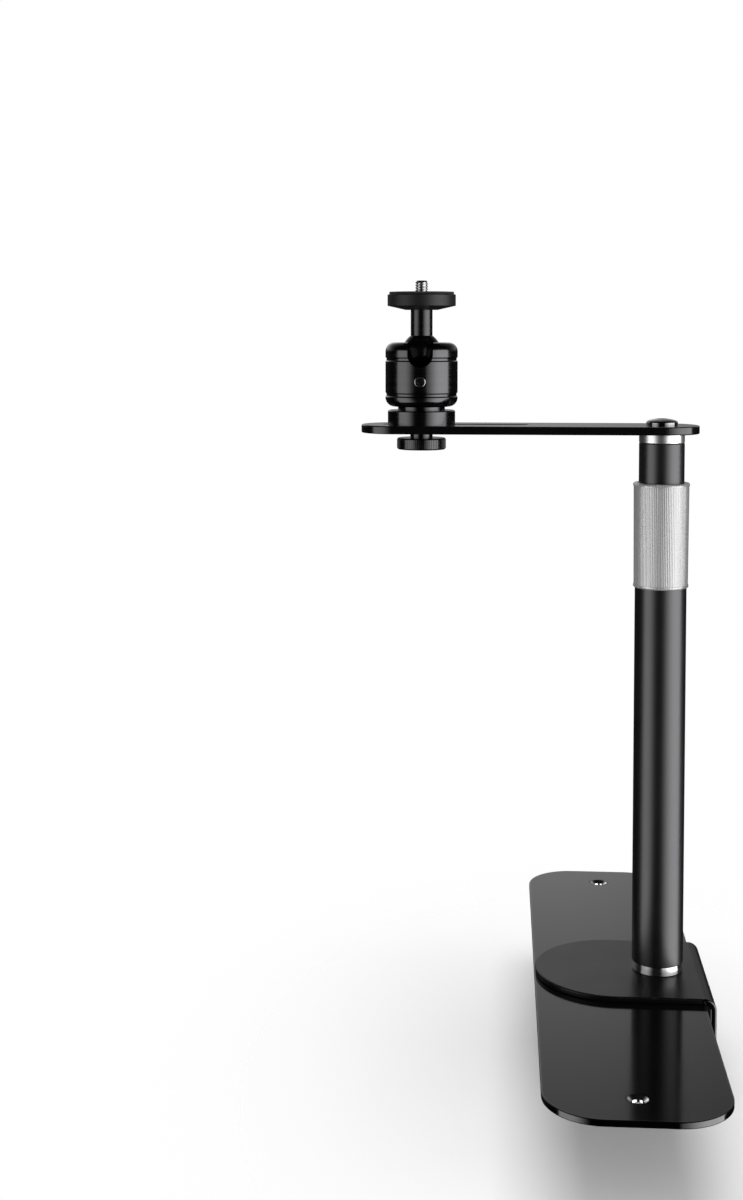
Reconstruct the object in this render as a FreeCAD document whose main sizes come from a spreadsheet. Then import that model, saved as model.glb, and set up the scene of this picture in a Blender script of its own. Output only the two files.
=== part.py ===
import FreeCAD, Part
import math
import os
import Sketcher

doc = FreeCAD.newDocument("ProjectorBracket")
sheet = doc.addObject("Spreadsheet::Sheet", "Sizes")

# Sizes in millimetres. X runs along the arm towards the hook, Y away from the viewer, Z up.
# The origin is the middle of the base plate's underside.
DRIVING = {
    # base plate
    "plate_length": 316,
    "plate_width": 80,
    "plate_thickness": 3,
    "plate_corner": 25,
    "plate_round": 0.5,
    "screw_inset": 20,
    # bright eyelets that line the two screw holes
    "eyelet_flange_r": 5.2,
    "eyelet_flange_h": 1,
    "eyelet_shank_r": 3.9,
    "eyelet_shank_h": 1.6,
    "eyelet_bore_r": 2.7,
    "eyelet_mouth_r": 4.5,
    "eyelet_cone_h": 1.6,
    "seat_gap": 0.2,
    # bent hook
    "pole_inset": 19.5,
    "sheet_thickness": 3,
    "hook_gap": 2,
    "bend_inner_r": 2.5,
    "hook_width": 76,
    "hook_drop": 46,
    "flange_corner": 14,
    "tip_inset": 0.5,
    "hook_round": 0.8,
    # foot of the pole
    "foot_head_r": 8,
    "foot_head_h": 1.6,
    "foot_bolt_r": 4,
    "foot_bolt_grip": 14,
    "foot_socket_across": 5,
    "foot_socket_depth": 1.1,
    "bolt_gap": 0.3,
    "thread_gap": 0.05,
    "ring_height": 4.5,
    "ring_round": 0.5,
    "ring_inset": 0.1,
    "ring_taper": 0.55,
    "spigot_length": 15,
    "spigot_gap": 0.05,
    # telescoping pole
    "tube_r": 12.5,
    "tube_wall": 1.2,
    "tube_top": 231,
    "tube_round": 0.4,
    "mast_r": 11,
    "mast_wall": 1.2,
    "mast_bottom": 46,
    "mast_show": 40,
    "mast_spigot_length": 12,
    # twist lock sleeve
    "sleeve_grip": 35,
    "sleeve_height": 51,
    "sleeve_top_r": 13.4,
    "sleeve_low_r": 13.1,
    "sleeve_lip_h": 1.4,
    "sleeve_lip_proud": 0.25,
    "sleeve_chamfer": 0.4,
    "turn_gap": 0.05,
    # arm
    "arm_thickness": 4,
    "arm_end_r": 18,
    "arm_overhang": 11.5,
    "arm_round": 0.6,
    "slot_half": 3.4,
    "slot_in": 49.1,
    "slot_out": 15.6,
    # pivot screw of the arm
    "pivot_head_r": 7.6,
    "pivot_head_h": 3.4,
    "pivot_rim_h": 2,
    "pivot_round": 1.2,
    "pivot_r": 3,
    "pivot_depth": 10,
    "pivot_gap": 0.05,
    "pivot_socket_across": 5,
    "pivot_socket_depth": 2,
    # ball head
    "head_reach": 117,
    "thumb_r": 12,
    "thumb_h": 5.6,
    "thumb_chamfer": 0.6,
    "thumb_collar_r": 5.5,
    "thumb_collar_h": 2.6,
    "thumb_shank_r": 3.1,
    "thumb_grip": 10,
    "knurl_depth": 0.15,
    "knurl_half": 0.3,
    "head_base_r": 16.5,
    "head_base_h": 7,
    "head_base_chamfer": 0.5,
    "neck_r": 11.5,
    "neck_h": 1.8,
    "body_r": 17.7,
    "body_h": 31.3,
    "body_round": 4.4,
    "groove_depth": 0.5,
    "groove_flank": 0.6,
    "groove_floor": 1,
    "groove_low": 4.7,
    "groove_high": 22,
    "ball_r": 9.5,
    "ball_gap": 0.3,
    "ball_rise": 26.8,
    "notch_half": 6.2,
    "notch_depth": 12,
    "notch_clear": 1,
    "set_screw_r": 3,
    "set_screw_length": 5,
    "set_screw_rise": 12.4,
    "set_screw_sink": 0.5,
    "set_socket_across": 3,
    "set_socket_depth": 2,
    "set_round": 0.8,
    "stem_r": 5.35,
    "stem_top": 20.4,
    # top disc and its stud
    "disc_r": 16.7,
    "disc_cone_r": 8,
    "disc_cone_h": 2,
    "disc_side_h": 5.6,
    "disc_round": 0.5,
    "top_pad_r": 15.8,
    "top_pad_h": 1.2,
    "stud_r": 3.175,
    "stud_root_r": 4,
    "stud_rise": 5.5,
    "stud_sink": 5,
    "stud_chamfer": 0.5,
}
KNURL_COUNT = 80

# Sizes that follow from the ones above.
DERIVED = {
    "plate_left": "=-plate_width / 2",
    "plate_right": "=plate_width / 2",
    "pole_x": "=plate_right - pole_inset",
    "plate_near": "=-plate_length / 2",
    "plate_far": "=plate_length / 2",
    "screw_far": "=plate_far - screw_inset",
    "screw_near": "=-screw_far",
    "eyelet_seat_d": "=2 * (eyelet_flange_r + seat_gap)",
    "eyelet_hole_d": "=2 * (eyelet_shank_r + seat_gap)",
    "eyelet_flange_z": "=plate_thickness - eyelet_flange_h",
    "eyelet_end_z": "=plate_thickness - eyelet_flange_h - eyelet_shank_h",
    "eyelet_cone_z": "=plate_thickness - eyelet_cone_h",
    "hook_top": "=plate_thickness + sheet_thickness",
    "hook_half": "=hook_width / 2",
    "hook_near": "=-hook_width / 2",
    "flange_in": "=plate_width / 2 + hook_gap",
    "flange_out": "=flange_in + sheet_thickness",
    "bend_x": "=flange_in - bend_inner_r",
    "bend_z": "=plate_thickness - bend_inner_r",
    "flange_bottom": "=-hook_drop",
    "tip_x": "=-plate_width / 2 + tip_inset",
    "tip_centre": "=tip_x + hook_half",
    "foot_hole_d": "=2 * (foot_bolt_r + bolt_gap)",
    "foot_hole_r": "=foot_bolt_r + bolt_gap",
    "foot_seat_d": "=2 * (foot_head_r + bolt_gap)",
    "foot_top": "=foot_head_h + foot_bolt_grip",
    "foot_thread_r": "=foot_bolt_r + thread_gap",
    "tube_in": "=tube_r - tube_wall",
    "spigot_r": "=tube_in - spigot_gap",
    "spigot_top": "=ring_height + spigot_length",
    "ring_low_r": "=tube_r - ring_inset",
    "ring_high_r": "=ring_low_r - ring_taper",
    "tube_base": "=hook_top + ring_height",
    "tube_length": "=tube_top - tube_base",
    "arm_under": "=tube_top + mast_show",
    "mast_in": "=mast_r - mast_wall",
    "mast_spigot_r": "=mast_in - spigot_gap",
    "mast_spigot_z": "=-mast_spigot_length",
    "mast_top": "=arm_under - ring_height",
    "mast_length": "=mast_top - mast_bottom",
    "pivot_thread_r": "=pivot_r + thread_gap",
    "sleeve_in": "=tube_r + turn_gap",
    "sleeve_bottom": "=tube_top - sleeve_grip",
    "sleeve_step": "=sleeve_grip + bolt_gap",
    "sleeve_mouth_r": "=mast_r + bolt_gap",
    "sleeve_low_lip_r": "=sleeve_low_r + sleeve_lip_proud",
    "sleeve_top_lip_r": "=sleeve_top_r + sleeve_lip_proud",
    "sleeve_top_lip_z": "=sleeve_height - sleeve_lip_h",
    "arm_top": "=arm_under + arm_thickness",
    "arm_far_x": "=-(head_reach + arm_overhang)",
    "arm_end_neg": "=-arm_end_r",
    "pivot_hole_r": "=pivot_r + pivot_gap",
    "slot_near_x": "=slot_in - head_reach",
    "slot_far_x": "=-(head_reach + slot_out)",
    "slot_half_neg": "=-slot_half",
    "pivot_bottom": "=-(arm_thickness + pivot_depth)",
    "pivot_dome_h": "=pivot_head_h - pivot_rim_h",
    "pivot_dome_z": "=pivot_head_h - (pivot_head_r * pivot_head_r / pivot_dome_h + pivot_dome_h) / 2",
    "head_x": "=pole_x - head_reach",
    "thumb_low": "=-(thumb_h + thumb_collar_h)",
    "thumb_high": "=-thumb_collar_h",
    "thumb_low_edge": "=thumb_low + thumb_chamfer",
    "thumb_high_edge": "=thumb_high - thumb_chamfer",
    "thumb_edge_r": "=thumb_r - thumb_chamfer",
    "knurl_root": "=thumb_r - knurl_depth",
    "knurl_crest": "=thumb_r + knurl_depth",
    "knurl_half_neg": "=-knurl_half",
    "head_thread_r": "=thumb_shank_r + thread_gap",
    "head_base_edge_r": "=head_base_r - head_base_chamfer",
    "head_base_edge_z": "=head_base_h - head_base_chamfer",
    "neck_z": "=arm_top + head_base_h",
    "body_z": "=neck_z + neck_h",
    "body_groove_r": "=body_r - groove_depth",
    "groove_low_a": "=groove_low + groove_flank",
    "groove_low_b": "=groove_low_a + groove_floor",
    "groove_low_c": "=groove_low_b + groove_flank",
    "groove_high_a": "=groove_high + groove_flank",
    "groove_high_b": "=groove_high_a + groove_floor",
    "groove_high_c": "=groove_high_b + groove_flank",
    "seat_r": "=ball_r + ball_gap",
    "seat_low": "=ball_rise - seat_r",
    "seat_high": "=ball_rise + seat_r",
    "notch_half_neg": "=-notch_half",
    "notch_turn": "=body_h - notch_depth + notch_half",
    "notch_over": "=body_h + notch_clear",
    "ball_z": "=body_z + ball_rise",
    "ball_low": "=-ball_r",
    "stem_start": "=sqrt(ball_r * ball_r - stem_r * stem_r)",
    "disc_z": "=ball_z + stem_top",
    "disc_top": "=disc_cone_h + disc_side_h",
    "pad_z": "=disc_z + disc_top",
    "stud_z": "=pad_z - stud_sink",
    "stud_hole_r": "=stud_root_r + thread_gap",
    "stud_floor": "=disc_top - stud_sink",
    "stud_root_top": "=stud_sink + top_pad_h",
    "stud_top": "=stud_root_top + stud_rise",
    "stud_edge_z": "=stud_top - stud_chamfer",
    "stud_edge_r": "=stud_r - stud_chamfer",
    "set_face": "=body_r - set_screw_sink",
    "set_back": "=set_face - set_screw_length",
    "set_hole_r": "=set_screw_r + thread_gap",
}

row = 0
for table in (DRIVING, DERIVED):
    for key in table:
        row += 1
        sheet.set("A%d" % row, key)
        sheet.set("B%d" % row, str(table[key]))
        sheet.setAlias("B%d" % row, key)
doc.recompute()


def size(key):
    """The value of a named size in millimetres."""
    return float(sheet.get(key))


def make_body(key, x=None, y=None, z=None):
    """A new body, placed by named sizes."""
    body = doc.addObject("PartDesign::Body", key)
    body.Label = key
    for axis, value in (("x", x), ("y", y), ("z", z)):
        if value:
            body.setExpression("Placement.Base." + axis, "Sizes." + value)
    return body


def make_sketch(body, role, lift=None, flip=False):
    """An empty sketch on one of the body's origin planes, lifted along the plane's normal."""
    plane = [f for f in body.Origin.OriginFeatures if f.Role == role][0]
    sketch = body.newObject("Sketcher::SketchObject", body.Label + "_sketch")
    sketch.AttachmentSupport = [(plane, "")]
    sketch.MapMode = "FlatFace"
    if flip:
        turn = FreeCAD.Rotation(FreeCAD.Vector(1, 0, 0), 180)
        sketch.AttachmentOffset = FreeCAD.Placement(FreeCAD.Vector(0, 0, 0), turn)
    if lift:
        sketch.setExpression("AttachmentOffset.Base.z", "Sizes." + lift)
    return sketch


def bind(sketch, constraint, key):
    """Add a constraint whose value is a named size."""
    index = sketch.addConstraint(constraint)
    sketch.setExpression("Constraints[%d]" % index, "Sizes." + key)


def hold(sketch, geometry, end, kind, key):
    """Hold one coordinate of a point at a named size, where None means on the axis."""
    if key is None:
        axis = -2 if kind == "DistanceX" else -1
        sketch.addConstraint(Sketcher.Constraint("PointOnObject", geometry, end, axis))
    else:
        bind(sketch, Sketcher.Constraint(kind, -1, 1, geometry, end, size(key)), key)


def pin(sketch, geometry, end, x, y):
    """Hold a point of the sketch at two named sizes."""
    if x is None and y is None:
        sketch.addConstraint(Sketcher.Constraint("Coincident", geometry, end, -1, 1))
        return
    hold(sketch, geometry, end, "DistanceX", x)
    hold(sketch, geometry, end, "DistanceY", y)


def point(pair):
    """The place of a pair of named sizes in a sketch."""
    x, y = pair
    return FreeCAD.Vector(size(x) if x else 0, size(y) if y else 0, 0)


def outline(sketch, corners, arcs=None):
    """A closed outline through corners; arcs maps a corner's number to (centre, turn)."""
    arcs = arcs or {}
    count = len(corners)
    ends = []
    for i, corner in enumerate(corners):
        a = point(corner)
        b = point(corners[(i + 1) % count])
        if i in arcs:
            centre, turn = arcs[i]
            c = point(centre)
            start = math.atan2(a.y - c.y, a.x - c.x)
            stop = math.atan2(b.y - c.y, b.x - c.x)
            if turn < 0:
                start, stop = stop, start
            if stop <= start:
                stop += 2 * math.pi
            circle = Part.Circle(c, FreeCAD.Vector(0, 0, 1), a.distanceToPoint(c))
            geometry = sketch.addGeometry(Part.ArcOfCircle(circle, start, stop), False)
            ends.append((geometry, 1, 2) if turn > 0 else (geometry, 2, 1))
        else:
            geometry = sketch.addGeometry(Part.LineSegment(a, b), False)
            ends.append((geometry, 1, 2))
    for i in range(count):
        geometry, first, last = ends[i]
        after = ends[(i + 1) % count]
        sketch.addConstraint(Sketcher.Constraint("Coincident", geometry, last, after[0], after[1]))
    for i, corner in enumerate(corners):
        pin(sketch, ends[i][0], ends[i][1], *corner)
    # An arc's ends are held already, so one coordinate of its centre settles it.
    for i in arcs:
        chord = point(corners[(i + 1) % count]) - point(corners[i])
        centre = arcs[i][0]
        if abs(chord.y) >= abs(chord.x):
            hold(sketch, ends[i][0], 3, "DistanceX", centre[0])
        else:
            hold(sketch, ends[i][0], 3, "DistanceY", centre[1])


def ring(sketch, x, y, radius):
    """A circle held by named sizes."""
    circle = Part.Circle(point((x, y)), FreeCAD.Vector(0, 0, 1), size(radius))
    geometry = sketch.addGeometry(circle, False)
    pin(sketch, geometry, 3, x, y)
    bind(sketch, Sketcher.Constraint("Radius", geometry, size(radius)), radius)


def hexagon(sketch, across, rise=None):
    """A hexagon on the sketch's upright axis, for a key socket."""
    reach = size(across) / math.sqrt(3)
    middle = point((None, rise))
    spots = []
    for i in range(6):
        angle = math.radians(60 * i + 90)
        spots.append(middle + FreeCAD.Vector(reach * math.cos(angle), reach * math.sin(angle), 0))
    sides = []
    for i in range(6):
        sides.append(sketch.addGeometry(Part.LineSegment(spots[i], spots[(i + 1) % 6]), False))
    guide = sketch.addGeometry(Part.Circle(middle, FreeCAD.Vector(0, 0, 1), reach), True)
    pin(sketch, guide, 3, None, rise)
    for i in range(6):
        after = sides[(i + 1) % 6]
        sketch.addConstraint(Sketcher.Constraint("Coincident", sides[i], 2, after, 1))
        sketch.addConstraint(Sketcher.Constraint("PointOnObject", sides[i], 1, guide))
    for i in range(1, 6):
        sketch.addConstraint(Sketcher.Constraint("Equal", sides[0], sides[i]))
    sketch.addConstraint(Sketcher.Constraint("PointOnObject", sides[0], 1, -2))
    index = sketch.addConstraint(Sketcher.Constraint("Radius", guide, reach))
    sketch.setExpression("Constraints[%d]" % index, "Sizes.%s / sqrt(3)" % across)


def pad(body, sketch, length, back=False):
    """Extrude a sketch along its normal, or against it."""
    feature = body.newObject("PartDesign::Pad", body.Label + "_pad")
    feature.Profile = sketch
    feature.setExpression("Length", "Sizes." + length)
    feature.Reversed = back
    sketch.Visibility = False
    doc.recompute()
    return feature


def must_cut(body, feature, before):
    """Stop if a feature took nothing away."""
    doc.recompute()
    if not feature.Shape.isValid() or feature.Shape.Volume > before - 1e-3:
        raise RuntimeError("no cut by " + feature.Label + " of " + body.Label)


def pocket(body, sketch, depth=None, back=False):
    """Cut a sketch into the body, right through where no depth is given."""
    before = body.Shape.Volume
    feature = body.newObject("PartDesign::Pocket", body.Label + "_pocket")
    feature.Profile = sketch
    feature.Reversed = back
    if depth:
        feature.setExpression("Length", "Sizes." + depth)
    else:
        feature.Type = "ThroughAll"
    must_cut(body, feature, before)
    return feature


def revolve(body, corners, arcs=None):
    """Turn a profile of (radius, height) corners about the body's own Z axis."""
    sketch = make_sketch(body, "XZ_Plane")
    outline(sketch, corners, arcs)
    feature = body.newObject("PartDesign::Revolution", body.Label + "_turned")
    feature.Profile = sketch
    feature.ReferenceAxis = (sketch, ["V_Axis"])
    feature.Angle = 360
    doc.recompute()
    return feature


def groove(body, corners, arcs=None):
    """Turn a profile about the body's own Z axis and take it away."""
    before = body.Shape.Volume
    sketch = make_sketch(body, "XZ_Plane")
    outline(sketch, corners, arcs)
    feature = body.newObject("PartDesign::Groove", body.Label + "_groove")
    feature.Profile = sketch
    feature.ReferenceAxis = (sketch, ["V_Axis"])
    feature.Angle = 360
    must_cut(body, feature, before)
    return feature


def stepped_hole(body, sketch, hole, seat, depth):
    """A through hole with a flat seat for a head or flange."""
    before = body.Shape.Volume
    doc.recompute()
    feature = body.newObject("PartDesign::Hole", body.Label + "_hole")
    feature.Profile = sketch
    feature.DepthType = "ThroughAll"
    feature.HoleCutType = "Counterbore"
    feature.setExpression("Diameter", "Sizes." + hole)
    feature.setExpression("HoleCutDiameter", "Sizes." + seat)
    feature.setExpression("HoleCutDepth", "Sizes." + depth)
    must_cut(body, feature, before)
    return feature


def dress(body, kind, value, test):
    """Round or chamfer the edges of the body that pass a test."""
    base = body.Tip
    names = []
    for i, edge in enumerate(base.Shape.Edges):
        if test(edge):
            names.append("Edge%d" % (i + 1))
    if not names:
        raise RuntimeError("no edge to dress on " + body.Label)
    feature = body.newObject("PartDesign::" + kind, body.Label + "_" + kind.lower())
    feature.Base = (base, names)
    feature.setExpression("Radius" if kind == "Fillet" else "Size", "Sizes." + value)
    doc.recompute()
    if not feature.Shape.isValid():
        raise RuntimeError("bad edge work on " + body.Label)
    return feature


def upright(edge):
    """True for a straight edge along Z."""
    low = edge.BoundBox
    return low.XLength < 1e-6 and low.YLength < 1e-6


def level(*heights):
    """A test for edges that lie level at one of the heights."""
    def test(edge):
        box = edge.BoundBox
        return box.ZLength < 1e-6 and any(abs(box.ZMin - h) < 1e-6 for h in heights)
    return test


def rim(radius, *heights):
    """A test for round edges of one radius at one of the heights."""
    flat = level(*heights)

    def test(edge):
        return flat(edge) and hasattr(edge.Curve, "Radius") and abs(edge.Curve.Radius - radius) < 1e-6
    return test


# Base plate: a rounded oblong with two eyelet holes on its middle line and a sunk hole for the foot bolt.
base_plate = make_body("base_plate")
sketch = make_sketch(base_plate, "XY_Plane")
outline(sketch, [
    ("plate_left", "plate_near"),
    ("plate_right", "plate_near"),
    ("plate_right", "plate_far"),
    ("plate_left", "plate_far"),
])
pad(base_plate, sketch, "plate_thickness")
dress(base_plate, "Fillet", "plate_corner", upright)
dress(base_plate, "Fillet", "plate_round", level(0, size("plate_thickness")))
sketch = make_sketch(base_plate, "XY_Plane", "plate_thickness")
ring(sketch, None, "screw_far", "eyelet_shank_r")
ring(sketch, None, "screw_near", "eyelet_shank_r")
stepped_hole(base_plate, sketch, "eyelet_hole_d", "eyelet_seat_d", "eyelet_flange_h")
sketch = make_sketch(base_plate, "XY_Plane", flip=True)
ring(sketch, "pole_x", None, "foot_bolt_r")
stepped_hole(base_plate, sketch, "foot_hole_d", "foot_seat_d", "foot_head_h")

# Eyelets: flanged bushes with a funnel mouth that line the two screw holes.
for key, place in (("eyelet_near", "screw_near"), ("eyelet_far", "screw_far")):
    eyelet = make_body(key, y=place)
    revolve(eyelet, [
        ("eyelet_bore_r", "eyelet_end_z"),
        ("eyelet_shank_r", "eyelet_end_z"),
        ("eyelet_shank_r", "eyelet_flange_z"),
        ("eyelet_flange_r", "eyelet_flange_z"),
        ("eyelet_flange_r", "plate_thickness"),
        ("eyelet_mouth_r", "plate_thickness"),
        ("eyelet_bore_r", "eyelet_cone_z"),
    ])

# Hook: a round-ended shelf that bends down into a flange behind the plate.
hook = make_body("hook_bracket")
sketch = make_sketch(hook, "XY_Plane", "plate_thickness")
outline(sketch, [
    ("tip_centre", "hook_near"),
    ("bend_x", "hook_near"),
    ("bend_x", "hook_half"),
    ("tip_centre", "hook_half"),
], {3: (("tip_centre", None), 1)})
pad(hook, sketch, "sheet_thickness")
sketch = make_sketch(hook, "XZ_Plane", "hook_half")
outline(sketch, [
    ("bend_x", "plate_thickness"),
    ("flange_in", "bend_z"),
    ("flange_in", "flange_bottom"),
    ("flange_out", "flange_bottom"),
    ("flange_out", "bend_z"),
    ("bend_x", "hook_top"),
], {
    0: (("bend_x", "bend_z"), -1),
    4: (("bend_x", "bend_z"), 1),
})
pad(hook, sketch, "hook_width", back=True)
dress(hook, "Fillet", "flange_corner", lambda e: e.BoundBox.ZMax < size("flange_bottom") + 1e-6
      and e.BoundBox.YLength < 1e-6)


def along_sheet(edge):
    """True for the outline edges of the hook, and not its bend lines or its short edges."""
    box = edge.BoundBox
    across = box.YLength > size("hook_width") - 1e-3 and box.ZMax > size("flange_bottom") + 1e-3
    bend_line = across and edge.Curve.TypeId == "Part::GeomLine"
    return edge.Length > size("sheet_thickness") + 1e-3 and not bend_line


dress(hook, "Fillet", "hook_round", along_sheet)
sketch = make_sketch(hook, "XY_Plane", "hook_top")
ring(sketch, "pole_x", None, "foot_hole_r")
pocket(hook, sketch)

# Foot bolt: a low flat head sunk in the plate's underside, with a key socket.
foot_bolt = make_body("foot_bolt", x="pole_x")
revolve(foot_bolt, [
    (None, None),
    ("foot_head_r", None),
    ("foot_head_r", "foot_head_h"),
    ("foot_bolt_r", "foot_head_h"),
    ("foot_bolt_r", "foot_top"),
    (None, "foot_top"),
])
sketch = make_sketch(foot_bolt, "XY_Plane")
hexagon(sketch, "foot_socket_across")
pocket(foot_bolt, sketch, "foot_socket_depth", back=True)

# Foot ring: a bright tapered collar with a spigot that plugs the lower tube.
foot_ring = make_body("foot_ring", x="pole_x", z="hook_top")
revolve(foot_ring, [
    ("foot_thread_r", None),
    ("ring_low_r", None),
    ("ring_high_r", "ring_height"),
    ("spigot_r", "ring_height"),
    ("spigot_r", "spigot_top"),
    ("foot_thread_r", "spigot_top"),
])
dress(foot_ring, "Fillet", "ring_round", rim(size("ring_low_r"), 0))

# Lower tube of the pole.
lower_tube = make_body("lower_tube", x="pole_x", z="tube_base")
revolve(lower_tube, [
    ("tube_in", None),
    ("tube_r", None),
    ("tube_r", "tube_length"),
    ("tube_in", "tube_length"),
])
dress(lower_tube, "Fillet", "tube_round", rim(size("tube_r"), 0))

# Lock sleeve: a slightly tapered collar with a raised lip at each end, turning on the lower tube.
lock_sleeve = make_body("lock_sleeve", x="pole_x", z="sleeve_bottom")
revolve(lock_sleeve, [
    ("sleeve_in", None),
    ("sleeve_low_lip_r", None),
    ("sleeve_low_lip_r", "sleeve_lip_h"),
    ("sleeve_low_r", "sleeve_lip_h"),
    ("sleeve_top_r", "sleeve_top_lip_z"),
    ("sleeve_top_lip_r", "sleeve_top_lip_z"),
    ("sleeve_top_lip_r", "sleeve_height"),
    ("sleeve_mouth_r", "sleeve_height"),
    ("sleeve_mouth_r", "sleeve_step"),
    ("sleeve_in", "sleeve_step"),
])
dress(lock_sleeve, "Chamfer", "sleeve_chamfer", lambda e: rim(size("sleeve_low_lip_r"), 0)(e)
      or rim(size("sleeve_top_lip_r"), size("sleeve_height"))(e))

# Upper tube of the pole.
upper_tube = make_body("upper_tube", x="pole_x", z="mast_bottom")
revolve(upper_tube, [
    ("mast_in", None),
    ("mast_r", None),
    ("mast_r", "mast_length"),
    ("mast_in", "mast_length"),
])
dress(upper_tube, "Fillet", "tube_round", rim(size("mast_r"), size("mast_length")))

# Top ring: a bright collar under the arm with a spigot that plugs the upper tube.
top_ring = make_body("top_ring", x="pole_x", z="mast_top")
revolve(top_ring, [
    ("pivot_thread_r", "mast_spigot_z"),
    ("mast_spigot_r", "mast_spigot_z"),
    ("mast_spigot_r", None),
    ("mast_r", None),
    ("mast_r", "ring_height"),
    ("pivot_thread_r", "ring_height"),
])
dress(top_ring, "Fillet", "ring_round", rim(size("mast_r"), 0, size("ring_height")))

# Arm: a flat bar with round ends, a pivot hole and a long slot for the head.
arm_plate = make_body("arm_plate", x="pole_x", z="arm_under")
sketch = make_sketch(arm_plate, "XY_Plane")
outline(sketch, [
    (None, "arm_end_neg"),
    (None, "arm_end_r"),
    ("arm_far_x", "arm_end_r"),
    ("arm_far_x", "arm_end_neg"),
], {
    0: ((None, None), 1),
    2: (("arm_far_x", None), 1),
})
pad(arm_plate, sketch, "arm_thickness")
dress(arm_plate, "Fillet", "arm_round", level(0, size("arm_thickness")))
sketch = make_sketch(arm_plate, "XY_Plane", "arm_thickness")
ring(sketch, None, None, "pivot_hole_r")
outline(sketch, [
    ("slot_near_x", "slot_half_neg"),
    ("slot_near_x", "slot_half"),
    ("slot_far_x", "slot_half"),
    ("slot_far_x", "slot_half_neg"),
], {
    0: (("slot_near_x", None), 1),
    2: (("slot_far_x", None), 1),
})
pocket(arm_plate, sketch)

# Pivot screw: a low pan head over the arm, with a key socket.
pivot_screw = make_body("pivot_screw", x="pole_x", z="arm_top")
revolve(pivot_screw, [
    (None, "pivot_bottom"),
    ("pivot_r", "pivot_bottom"),
    ("pivot_r", None),
    ("pivot_head_r", None),
    ("pivot_head_r", "pivot_rim_h"),
    (None, "pivot_head_h"),
], {4: ((None, "pivot_dome_z"), 1)})
dress(pivot_screw, "Fillet", "pivot_round", rim(size("pivot_head_r"), size("pivot_rim_h")))
sketch = make_sketch(pivot_screw, "XY_Plane", "pivot_head_h")
hexagon(sketch, "pivot_socket_across")
pocket(pivot_screw, sketch, "pivot_socket_depth")

# Thumb screw under the arm: a knurled disc with a collar and the shank that holds the head.
thumb_screw = make_body("thumb_screw", x="head_x", z="arm_under")
revolve(thumb_screw, [
    (None, "thumb_low"),
    ("thumb_edge_r", "thumb_low"),
    ("thumb_r", "thumb_low_edge"),
    ("thumb_r", "thumb_high_edge"),
    ("thumb_edge_r", "thumb_high"),
    ("thumb_collar_r", "thumb_high"),
    ("thumb_collar_r", None),
    ("thumb_shank_r", None),
    ("thumb_shank_r", "thumb_grip"),
    (None, "thumb_grip"),
])
sketch = make_sketch(thumb_screw, "XY_Plane", "thumb_high")
outline(sketch, [
    ("knurl_root", None),
    ("knurl_crest", "knurl_half_neg"),
    ("knurl_crest", "knurl_half"),
])
tooth = pocket(thumb_screw, sketch, "thumb_h")
knurl = thumb_screw.newObject("PartDesign::PolarPattern", "thumb_screw_knurl")
knurl.Originals = [tooth]
knurl.Axis = (sketch, ["N_Axis"])
knurl.Angle = 360
knurl.Occurrences = KNURL_COUNT
thumb_screw.Tip = knurl
must_cut(thumb_screw, knurl, tooth.Shape.Volume)

# Base disc of the head, resting on the arm.
head_base = make_body("head_base", x="head_x", z="arm_top")
revolve(head_base, [
    ("head_thread_r", None),
    ("head_base_r", None),
    ("head_base_r", "head_base_edge_z"),
    ("head_base_edge_r", "head_base_h"),
    ("head_thread_r", "head_base_h"),
])

# Neck ring that the housing pans on.
head_neck = make_body("head_neck", x="head_x", z="neck_z")
revolve(head_neck, [
    (None, None),
    ("neck_r", None),
    ("neck_r", "neck_h"),
    (None, "neck_h"),
])

# Ball housing: a round-cornered barrel with two soft ring grooves, a ball seat and a drop notch.
housing = make_body("ball_housing", x="head_x", z="body_z")
revolve(housing, [
    (None, None),
    ("body_r", None),
    ("body_r", "groove_low"),
    ("body_groove_r", "groove_low_a"),
    ("body_groove_r", "groove_low_b"),
    ("body_r", "groove_low_c"),
    ("body_r", "groove_high"),
    ("body_groove_r", "groove_high_a"),
    ("body_groove_r", "groove_high_b"),
    ("body_r", "groove_high_c"),
    ("body_r", "body_h"),
    (None, "body_h"),
])
dress(housing, "Fillet", "body_round", rim(size("body_r"), 0, size("body_h")))
groove(housing, [
    (None, "seat_low"),
    (None, "seat_high"),
], {0: ((None, "ball_rise"), 1)})
sketch = make_sketch(housing, "XZ_Plane")
outline(sketch, [
    ("notch_half_neg", "notch_turn"),
    ("notch_half", "notch_turn"),
    ("notch_half", "notch_over"),
    ("notch_half_neg", "notch_over"),
], {0: ((None, "notch_turn"), 1)})
pocket(housing, sketch, back=True)
sketch = make_sketch(housing, "XZ_Plane", "set_back")
ring(sketch, None, "set_screw_rise", "set_hole_r")
pocket(housing, sketch, back=True)

# Set screw in the front of the housing, with a key socket.
set_screw = make_body("set_screw", x="head_x", z="body_z")
sketch = make_sketch(set_screw, "XZ_Plane", "set_back")
ring(sketch, None, "set_screw_rise", "set_screw_r")
pad(set_screw, sketch, "set_screw_length")
sketch = make_sketch(set_screw, "XZ_Plane", "set_face")
hexagon(sketch, "set_socket_across", "set_screw_rise")
pocket(set_screw, sketch, "set_socket_depth")
dress(set_screw, "Fillet", "set_round", lambda e: e.BoundBox.YMax < -size("set_face") + 1e-6
      and hasattr(e.Curve, "Radius"))

# Ball with its stem.
ball_stem = make_body("ball_stem", x="head_x", z="ball_z")
revolve(ball_stem, [
    (None, "ball_low"),
    ("stem_r", "stem_start"),
    ("stem_r", "stem_top"),
    (None, "stem_top"),
], {0: ((None, None), 1)})

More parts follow.
